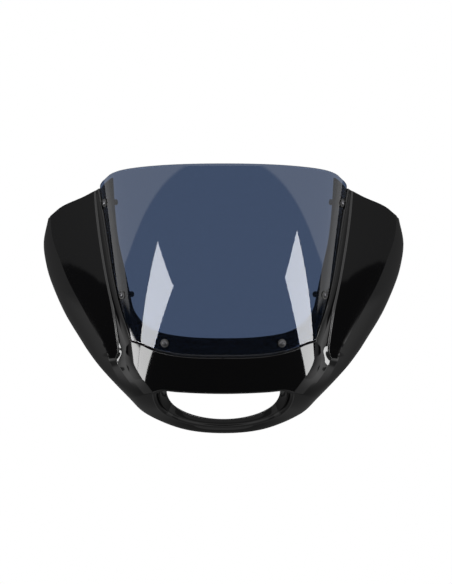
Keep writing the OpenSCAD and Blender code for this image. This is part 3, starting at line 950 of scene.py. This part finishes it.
class Value:
    """A number in a shader that adds, multiplies and steps like one in Python."""

    def __init__(self, knots: Knots, socket: bpy.types.NodeSocket) -> None:
        """Wraps an output socket."""
        self.knots = knots
        self.socket = socket

    def maths(self, operation: str, other: "Value | float | bpy.types.NodeSocket",
              turned: bool = False) -> "Value":
        """Returns the result of one Math node, with the two numbers in turned order if asked."""
        pair = {0: other, 1: self} if turned else {0: self, 1: other}
        return Value(self.knots, self.knots.node("ShaderNodeMath", pair, operation=operation).outputs[0])

    def __add__(self, other: "Value | float") -> "Value":
        """Returns the sum."""
        return self.maths("ADD", other)

    def __sub__(self, other: "Value | float") -> "Value":
        """Returns the difference."""
        return self.maths("SUBTRACT", other)

    def __rsub__(self, other: "Value | float") -> "Value":
        """Returns a plain number less this one."""
        return self.maths("SUBTRACT", other, True)

    def __mul__(self, other: "Value | float") -> "Value":
        """Returns the product."""
        return self.maths("MULTIPLY", other)

    def above(self, edge: float, width: float) -> "Value":
        """Adds a smooth step.

        Args:
            edge: the number at the middle of the step.
            width: the width of the step.

        Returns:
            The step, from 0 below to 1 above.
        """
        node = self.knots.node("ShaderNodeMapRange", {0: self, 1: edge - width / 2, 2: edge + width / 2},
                               interpolation_type="SMOOTHSTEP")
        return Value(self.knots, node.outputs[0])


@dataclass(frozen=True)
class Finish:
    """How one surface looks. In millimetres, grain is its bumps' height and patches is its wear's size."""

    name: str
    colour: tuple
    roughness: float
    spread: float = 0.0
    metallic: float = 0.0
    ior: float = 1.5
    transmission: float = 0.0
    grain: float = 0.0
    grain_size: float = 1.0
    patches: float = 60.0
    tone: float = 0.0

    def material(self) -> bpy.types.Material:
        """Builds the material, with its unevenness in the object's own coordinates.

        Returns:
            The material.
        """
        material = bpy.data.materials.new(self.name)
        material.use_nodes = True
        shader = material.node_tree.nodes["Principled BSDF"]
        knots = Knots(material.node_tree)
        for name, value in (
                ("Base Color", (*self.colour, 1)), ("Roughness", self.roughness), ("Metallic", self.metallic),
                ("IOR", self.ior), ("Transmission Weight", self.transmission)):
            shader.inputs[name].default_value = value
        place = knots.node("ShaderNodeTexCoord").outputs["Object"]
        if self.spread:
            noise = knots.node("ShaderNodeTexNoise", {"Vector": place, "Scale": 1 / (self.patches * MM),
                                                      "Detail": 3.0})
            wear = Value(knots, noise.outputs[0])
            knots.tree.links.new((wear * (2 * self.spread) + (self.roughness - self.spread)).socket,
                                 shader.inputs["Roughness"])
        if self.tone:
            dark, light = ((*(c * (1 + sign * self.tone) for c in self.colour), 1) for sign in (-1, 1))
            mix = knots.node("ShaderNodeMix", {0: wear, 6: dark, 7: light}, data_type="RGBA")
            knots.tree.links.new(mix.outputs[2], shader.inputs["Base Color"])
        if self.grain:
            fine = knots.node("ShaderNodeTexNoise", {"Vector": place, "Scale": 1 / (self.grain_size * MM),
                                                     "Detail": 2.0})
            bump = knots.node("ShaderNodeBump", {"Strength": 1.0, "Distance": self.grain * MM,
                                                 "Height": fine.outputs[0]})
            knots.tree.links.new(bump.outputs[0], shader.inputs["Normal"])
        return material


class Finishes(Enum):
    """The finishes of the fairing."""

    GLOSS = Finish("gloss_black", (0.0022, 0.0022, 0.0024), 0.035, spread=0.015, grain=0.004, grain_size=9.0)
    SATIN = Finish("satin_black_back", (0.009, 0.009, 0.0095), 0.42, spread=0.06, grain=0.02, grain_size=0.7)
    SMOKE = Finish("smoked_acrylic", (0.051, 0.076, 0.136), 0.0, ior=1.49, transmission=1.0)
    SCREW = Finish("black_screw_steel", (0.09, 0.09, 0.095), 0.34, spread=0.06, metallic=1.0, tone=0.1)
    NYLON = Finish("black_nylon", (0.012, 0.012, 0.012), 0.5, spread=0.05, grain=0.008, grain_size=0.5)
    RUBBER = Finish("black_rubber", (0.013, 0.013, 0.014), 0.62, spread=0.06, grain=0.02, grain_size=0.6)
    BRASS = Finish("brass", (0.66, 0.47, 0.2), 0.3, spread=0.06, metallic=1.0, patches=4.0, tone=0.08)


def copies_tree() -> bpy.types.NodeTree:
    """Builds the tree that stands a copy of a pattern on each point, along the point's axis.

    Returns:
        The tree.
    """
    tree = bpy.data.node_groups.new("standing copies", "GeometryNodeTree")
    face = tree.interface
    face.new_socket("Points", in_out="INPUT", socket_type="NodeSocketGeometry")
    for label, kind in (("Pattern", "Object"), ("Lift", "Float"), ("Spin", "Float"), ("Finish", "Material")):
        face.new_socket(label, in_out="INPUT", socket_type=f"NodeSocket{kind}")
    face.new_socket("Copies", in_out="OUTPUT", socket_type="NodeSocketGeometry")
    knots = Knots(tree)
    given = knots.node("NodeGroupInput").outputs

    def first(kind: str, inputs: dict, **settings) -> bpy.types.NodeSocket:
        """Adds a node and returns its first output."""
        return knots.node(kind, inputs, **settings).outputs[0]

    axis = first("GeometryNodeInputNamedAttribute", {"Name": "axis"}, data_type="FLOAT_VECTOR")
    offset = first("ShaderNodeVectorMath", {0: axis, "Scale": given["Lift"]}, operation="SCALE")
    raised = first("GeometryNodeSetPosition", {"Geometry": given["Points"], "Offset": offset})
    turn = first("FunctionNodeAlignRotationToVector", {"Vector": axis}, axis="Z")
    pattern = knots.node("GeometryNodeObjectInfo", {"Object": given["Pattern"], "As Instance": True})
    stood = first("GeometryNodeInstanceOnPoints", {
        "Points": raised, "Instance": pattern.outputs["Geometry"], "Rotation": turn})
    most = first("ShaderNodeCombineXYZ", {"Z": given["Spin"]})
    spin = first("FunctionNodeRandomValue", {0: (0, 0, 0), 1: most, "Seed": 7}, data_type="FLOAT_VECTOR")
    spun = first("GeometryNodeRotateInstances", {"Instances": stood, "Rotation": spin})
    real = first("GeometryNodeRealizeInstances", {"Geometry": spun})
    done = first("GeometryNodeSetMaterial", {"Geometry": real, "Material": given["Finish"]})
    knots.node("NodeGroupOutput", {0: done})
    return tree


@dataclass
class Fasteners:
    """The windscreen's screws, washers and well nuts, and the bracket's threaded inserts."""

    form: Form
    mould: Mould
    spots: tuple = ((70.3, 151.0), (62.3, -5.0), (32.2, -84.5))
    head_r: float = 4.75
    head_h: float = 2.8
    head_edge: float = 0.45
    socket_r: float = 1.732
    socket_depth: float = 1.6
    socket_flare: float = 0.15
    dome_radii: tuple = (4.75, 4.68, 4.5, 4.2, 3.8, 3.4, 2.9, 2.4, 2.05)
    rounding: float = 0.2
    shank_r: float = 2.5
    shank_length: float = 20.0
    shank_plain: float = 3.0
    tip_chamfer: float = 0.8
    tip_plain: float = 0.6
    pitch: float = 0.8
    thread_depth: float = 0.42
    washer_r: float = 7.0
    washer_h: float = 1.2
    nut_r: float = 5.0
    nut_length: float = 20.0
    nut_flange_r: float = 7.0
    nut_flange_h: float = 1.2
    nut_relief: float = 0.4
    nut_bulge: tuple = ((7, 0), (8.5, 0.2), (10, 0.28), (11.5, 0.2), (13, 0))
    core_r: float = 3.7
    core_length: float = 6.0
    insert_r: float = 4.5
    insert_bore: float = 3.0
    insert_length: float = 12.0
    insert_pitch: float = 1.0
    insert_thread: float = 0.45
    round: int = 48
    sharp: float = 38.0

    def __post_init__(self) -> None:
        """Builds the tree that all copies share."""
        self.tree = copies_tree()

    def rings(self, profile: list, sides: int = 0) -> list:
        """Draws a loop of points about the Z axis for each radius and height.

        Args:
            profile: the radii and the heights.
            sides: how many flat sides a loop has, or 0 for circles.

        Returns:
            The loops, in metres.
        """
        angles = np.linspace(0, 2 * math.pi, self.round, endpoint=False)
        side = 2 * math.pi / (sides or self.round)
        reach = [math.cos(side / 2) / math.cos(a % side - side / 2) if sides else 1.0 for a in angles]
        return [[(r * k * math.cos(a) * MM, r * k * math.sin(a) * MM, z * MM) for k, a in zip(reach, angles)]
                for r, z in profile]

    def solid(self, name: str, rings: list, material: bpy.types.Material) -> bpy.types.Object:
        """Joins loops of points into a closed solid.

        Args:
            name: the object's name.
            rings: the loops, one after another along the surface. A first loop that comes again at the end
                closes the surface, and otherwise each end has a cap.
            material: the finish.

        Returns:
            The solid's object.
        """
        n, hollow = self.round, rings[0] == rings[-1]
        rings = rings[:-1] if hollow else rings
        count = len(rings)
        faces = [(i * n + k, i * n + (k + 1) % n, (i + 1) % count * n + (k + 1) % n, (i + 1) % count * n + k)
                 for i in range(count if hollow else count - 1) for k in range(n)]
        if not hollow:
            faces += [tuple(range(n)), tuple((count - 1) * n + k for k in range(n))]
        return new_object(name, [p for ring in rings for p in ring], faces, [material], self.sharp)

    def screw(self) -> list:
        """Draws a button head with a hexagonal socket and a threaded shank, its seat at Z 0.

        Returns:
            The loops from the shank's tip to the socket's floor.
        """
        dome_r = (self.head_r ** 2 + self.head_h ** 2) / (2 * self.head_h)

        def dome(radius: float) -> float:
            """Returns the head's height at a radius, above its short straight edge."""
            share = (self.head_h - dome_r + math.sqrt(dome_r ** 2 - radius ** 2)) / self.head_h
            return blend(self.head_edge, self.head_h, share)

        profile = [(self.shank_r - self.tip_chamfer, -self.shank_length)]
        for k in range(int((self.shank_length - self.shank_plain - 1) / self.pitch)):
            z = self.tip_plain - self.shank_length + k * self.pitch
            profile += [(self.shank_r - self.thread_depth, z), (self.shank_r, z + self.pitch / 2)]
        profile += [(self.shank_r, -self.shank_plain), (self.shank_r, 0), (self.head_r - self.rounding, 0),
                    (self.head_r, self.rounding)]
        profile += [(r, dome(r)) for r in self.dome_radii]
        top, flare = dome(self.socket_r), self.socket_flare
        bottom = top - self.socket_depth
        socket = [(self.socket_r + flare, top), (self.socket_r, top - flare), (self.socket_r, bottom)]
        return self.rings(profile) + self.rings(socket, 6) + self.rings([(0.3, bottom - 0.5)])

    def washer(self) -> list:
        """Draws a flat washer with rounded edges, its seat at Z 0.

        Returns:
            The loops round its section.
        """
        r, h, bore, edge = self.washer_r, self.washer_h, self.shank_r + 0.25, self.rounding
        return self.rings([
            (bore, 0), (r - edge, 0), (r, edge), (r, h - 2 * edge), (r - 0.6 * edge, h - 0.6 * edge),
            (r - 2 * edge, h), (bore + edge, h), (bore, h - edge), (bore, 0)])

    def well_nut(self) -> list:
        """Draws the rubber flange and the body below Z 0, with the bulge that drawing it up leaves.

        Returns:
            The loops round its section.
        """
        r, f, seat, bore = self.nut_r, self.nut_flange_r, -self.nut_flange_h, self.shank_r + 0.05
        low, edge = seat - self.nut_length, 1.5 * self.rounding
        return self.rings([
            (bore, low), (r - 3 * edge, low), (r - 0.25, low + edge), (r, low + 1),
            *((r + out, low + rise) for rise, out in self.nut_bulge),
            (r, seat - edge), (r + self.rounding, seat), (f - edge, seat), (f, seat + edge), (f, -edge),
            (f - edge, 0), (bore, 0), (bore, low)])

    def nut_core(self) -> list:
        """Draws the threaded core that shows in the end of the rubber body.

        Returns:
            The loops round its section.
        """
        low, r, bore = -self.nut_flange_h - self.nut_length, self.core_r, self.shank_r - 0.1
        end, top, edge = low - 0.25, low + self.core_length, self.rounding
        return self.rings([(bore, end), (r - edge, end), (r, end + edge), (r, top), (bore, top), (bore, end)])

    def insert(self) -> list:
        """Draws a threaded insert with a chamfered mouth, its face at Z 0.

        Returns:
            The loops round its section.
        """
        r, bore, length, edge = self.insert_r, self.insert_bore, self.insert_length, 1.5 * self.rounding
        mouth = (bore + 0.7, 0)
        profile = [mouth, (r - edge, 0), (r, -edge), (r, 0.6 - length), (r - 0.5, -length), (bore, -length)]
        for k in range(int(length / self.insert_pitch) - 1):
            z = 0.5 - length + k * self.insert_pitch
            profile += [(bore + self.insert_thread, z), (bore, z + self.insert_pitch / 2)]
        return self.rings(profile + [(bore + 0.1, -0.6), mouth])

    def copies(self, name: str, pattern: bpy.types.Object, points: list, axes: list,
               lift: float) -> bpy.types.Object:
        """Stands a copy of a pattern on each point.

        Args:
            name: the new piece's name.
            pattern: the object to copy, which is removed.
            points: places in metres.
            axes: the direction of each copy's Z axis.
            lift: how far each copy stands off its point, in millimetres.

        Returns:
            The piece with all its copies.
        """
        piece = new_object(name, points, [], [])
        piece.data.attributes.new("axis", "FLOAT_VECTOR", "POINT").data.foreach_set("vector", np.ravel(axes))
        modifier = piece.modifiers.new("copies", "NODES")
        modifier.node_group = self.tree
        values = {"Pattern": pattern, "Lift": lift * MM, "Spin": math.pi, "Finish": pattern.data.materials[0]}
        for item in self.tree.interface.items_tree:
            if item.name in values:
                modifier[item.identifier] = values[item.name]
        plain = bpy.data.meshes.new_from_object(piece.evaluated_get(bpy.context.evaluated_depsgraph_get()))
        piece.modifiers.remove(modifier)
        piece.data = plain
        bpy.data.objects.remove(pattern)
        return piece

    def build(self, finish: dict) -> None:
        """Builds every fastener and puts it in the place of its CAD nodes.

        Args:
            finish: the material of each member of Finishes.
        """
        bow, place, turn = self.form.bow, self.mould.place, self.mould.turn
        spots = [(side * angle, height) for side in (1, -1) for angle, height in self.spots]
        points = [place(bow.point(*spot)).tolist() for spot in spots]
        screen = points, [turn(bow.normal(*spot)).tolist() for spot in spots]
        bracket = Bosses(self.mould).places(), [(0, 1, 0)] * 4
        behind = -self.form.screen_wall - self.nut_relief
        for name, rings, look, lift, (points, axes), node, slot in (
                ("screws", self.screw(), Finishes.SCREW, self.washer_h, screen, "screw", "black_screw"),
                ("washers", self.washer(), Finishes.NYLON, 0.0, screen, "washer", "washer_nylon"),
                ("well_nuts", self.well_nut(), Finishes.RUBBER, behind, screen, "well_nut", "nut_rubber"),
                ("well_nut_cores", self.nut_core(), Finishes.BRASS, behind, screen, "", "insert_brass"),
                ("inserts", self.insert(), Finishes.BRASS, 0.0, bracket, "insert", "insert_brass")):
            nodes = [f"{node}_{i + 1}" for i in range(len(points))] if node else []
            pattern = self.solid(f"{name}_pattern", rings, finish[look])
            attach(self.copies(name, pattern, points, axes, lift), nodes)


@dataclass(frozen=True)
class Room:
    """What the gloss surfaces mirror: a dark tent with lit sheets, told apart by the mirrored direction.

    Each pair is where a zone starts on one axis of the mould, from -1 to 1, and the width of its fade.
    """

    front: tuple = (0.2, 0.04)
    back: tuple = (-0.25, 0.02)
    ceiling: tuple = (-0.063, 0.004)
    ceiling_lean: float = 0.0375
    ceiling_bow: float = 0.1285
    ceiling_level: float = 1.2
    floor: tuple = (-0.3, 0.2)
    floor_level: float = 0.15
    gap_level: float = 0.02
    strip: tuple = (-0.085, 0.012)
    strip_level: float = 1.3
    side_back: tuple = (-0.02, 0.04)
    side_back_level: float = 0.2
    sheet_side: tuple = (0.08, 0.04)
    sheet_foot: tuple = (-0.2, 0.05)
    table: tuple = (-0.105, 0.01)
    table_back: tuple = (-0.15, 0.02)
    table_fall: tuple = (-0.3, 0.3)
    table_end: tuple = (-0.4, 0.5)
    table_level: float = 0.8
    table_dark: float = 0.12
    box_back: tuple = (-0.45, 0.03)
    box_top: tuple = (0.12, 0.004)
    box_lean: float = 0.5
    far_level: float = 0.12
    dark: float = 0.01
    patch_side: tuple = (-0.25, 0.1)
    patch_back: tuple = (0.12, 0.02)
    patch_foot: tuple = (-0.2, 0.02)
    patch_top: tuple = (-0.103, 0.006)
    patch_front: tuple = (0.724, 0.008)
    patch_lean: float = 3.3

    def radiance(self, across: Value, up: Value, out: Value, lamp: float) -> Value:
        """Returns what a direction shows.

        Args:
            across: how far the direction points to the right of the mould.
            up: how far it points up the windscreen.
            out: how far it points out of the mould, to the camera.
            lamp: the lamps' radiance, for the sheet that one lamp lights beside itself.

        Returns:
            The radiance in that direction.
        """
        front, behind = out.above(*self.front), 1 - out.above(*self.back)
        side = 1 - front - behind
        ceiling = (up - out * self.ceiling_lean - out * out * self.ceiling_bow).above(*self.ceiling)
        floor = 1 - up.above(*self.floor)
        end = 1 - out.above(*self.side_back)
        strip = up.above(*self.strip) * self.strip_level + end * self.side_back_level
        sheet = out.above(*self.sheet_side) * up.above(*self.sheet_foot)
        beside = (1 - up.above(*self.table)) * (1 - sheet) * (1 - behind)
        table = beside + (1 - up.above(*self.table_back)) * behind
        fall = up.above(*self.table_fall) * out.above(*self.table_end)
        box = out.above(*self.box_back) * (1 - (up - out * self.box_lean).above(*self.box_top))
        far = behind * (1 - table) * (1 - box)
        patch = (1 - across.above(*self.patch_side)) * out.above(*self.patch_back)
        patch = patch * up.above(*self.patch_foot) * (1 - up.above(*self.patch_top))
        patch = patch * (1 - (out - up * self.patch_lean).above(*self.patch_front))
        ahead = ceiling * self.ceiling_level + floor * self.floor_level + self.gap_level
        lit_table = table * (fall * self.table_level + self.table_dark)
        return front * ahead + side * strip + lit_table + far * self.far_level + patch * lamp + self.dark


@dataclass
class Studio:
    """The camera, the lamps and the surroundings."""

    mould: Mould
    distance: float = 2200.0
    mm_per_pixel: float = 1.64
    axis_x: float = 223.3
    sensor: float = 36.0
    reach: float = 50.0
    lamp_radiance: float = 11.5
    lamp_length: float = 1150.0
    plain: float = 0.55

    def matrix(self, place: np.ndarray, across: np.ndarray, out: np.ndarray) -> Matrix:
        """Places an object in the mould frame.

        Args:
            place: the object's place in the mould frame.
            across: the direction of its X axis.
            out: the direction of its Z axis.

        Returns:
            The matrix.
        """
        x, z = (Vector(self.mould.turn(unit(np.array(v, float)))) for v in (across, out))
        turn = Matrix((x, z.cross(x), z)).transposed().to_4x4()
        return Matrix.Translation(Vector(self.mould.place(np.array(place, float)))) @ turn

    def camera(self) -> None:
        """Sets the camera square to the windscreen's centreline, as the photograph was taken."""
        data = bpy.data.cameras.new("camera")
        data.sensor_width = self.sensor
        data.lens = self.sensor * (self.distance / self.mm_per_pixel) / IMAGE_H
        data.clip_end = self.reach
        obj = bpy.data.objects.new("camera", data)
        bpy.context.scene.collection.objects.link(obj)
        obj.matrix_world = self.matrix(((IMAGE_W / 2 - self.axis_x) * self.mm_per_pixel, 0, self.distance),
                                       (1, 0, 0), (0, 0, 1))
        bpy.context.scene.camera = obj

    def world(self) -> None:
        """Makes the surroundings: white to look at, plain to light with, and the room to mirror."""
        world = bpy.data.worlds.new("studio")
        bpy.context.scene.world = world
        world.use_nodes = True
        knots = Knots(world.node_tree)
        path = knots.node("ShaderNodeLightPath").outputs
        way = knots.node("ShaderNodeTexCoord").outputs["Generated"]
        axes = self.mould.turn(np.eye(3)).tolist()
        ways = (knots.node("ShaderNodeVectorMath", {0: way, 1: a}, operation="DOT_PRODUCT") for a in axes)
        room = Room().radiance(*(Value(knots, node.outputs["Value"]) for node in ways), self.lamp_radiance)
        seen = Value(knots, path["Is Camera Ray"]).maths("MAXIMUM", path["Is Transmission Ray"])
        glossy = Value(knots, path["Is Glossy Ray"])
        level = seen + (1 - seen) * (glossy * room + (1 - glossy) * self.plain)
        backdrop = world.node_tree.nodes["Background"]
        backdrop.inputs["Color"].default_value = (1, 1, 1, 1)
        knots.tree.links.new(level.socket, backdrop.inputs["Strength"])

    def strip_lamp(self, name: str, corners: tuple, run: tuple) -> None:
        """Adds a strip lamp that looks towards the fairing.

        Args:
            name: the lamp's name.
            corners: the two corners of its near end in the mould frame, in millimetres.
            run: the direction of its length.
        """
        first, second = (np.array(c, float) for c in corners)
        way = unit(np.array(run, float))
        face = np.cross(way, second - first)
        middle = (first + second + way * self.lamp_length) / 2
        data = bpy.data.lights.new(name, "AREA")
        data.shape = "RECTANGLE"
        data.size, data.size_y = self.lamp_length * MM, float(np.linalg.norm(second - first)) * MM
        data.energy = self.lamp_radiance * math.pi * data.size * data.size_y
        obj = bpy.data.objects.new(name, data)
        bpy.context.scene.collection.objects.link(obj)
        obj.matrix_world = self.matrix(middle, way, face * np.sign(np.dot(face, first)))
        obj.visible_camera = False


def main() -> None:
    """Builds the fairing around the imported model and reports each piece."""
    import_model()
    mould, form = Mould(), Form()
    finish = {member: member.value.material() for member in Finishes}
    attach(Shell(form, mould).build(finish[Finishes.GLOSS], finish[Finishes.SATIN]), ["shell"])
    attach(Windscreen(form, mould).build(finish[Finishes.SMOKE]), ["windscreen"])
    Fasteners(form, mould).build(finish)
    studio = Studio(mould)
    studio.camera()
    studio.world()
    studio.strip_lamp("strip_lamp_left", ((-843, 100, 933), (-471, 1, 694)), (-0.565, -0.444, -0.695))
    studio.strip_lamp("strip_lamp_right", ((945, 121, 854), (726, 10, 822)), (0.329, -0.411, -0.85))
    bpy.context.scene.view_settings.view_transform = "Standard"


if __name__ == "__main__":
    logging.basicConfig(level=logging.INFO)
    main()
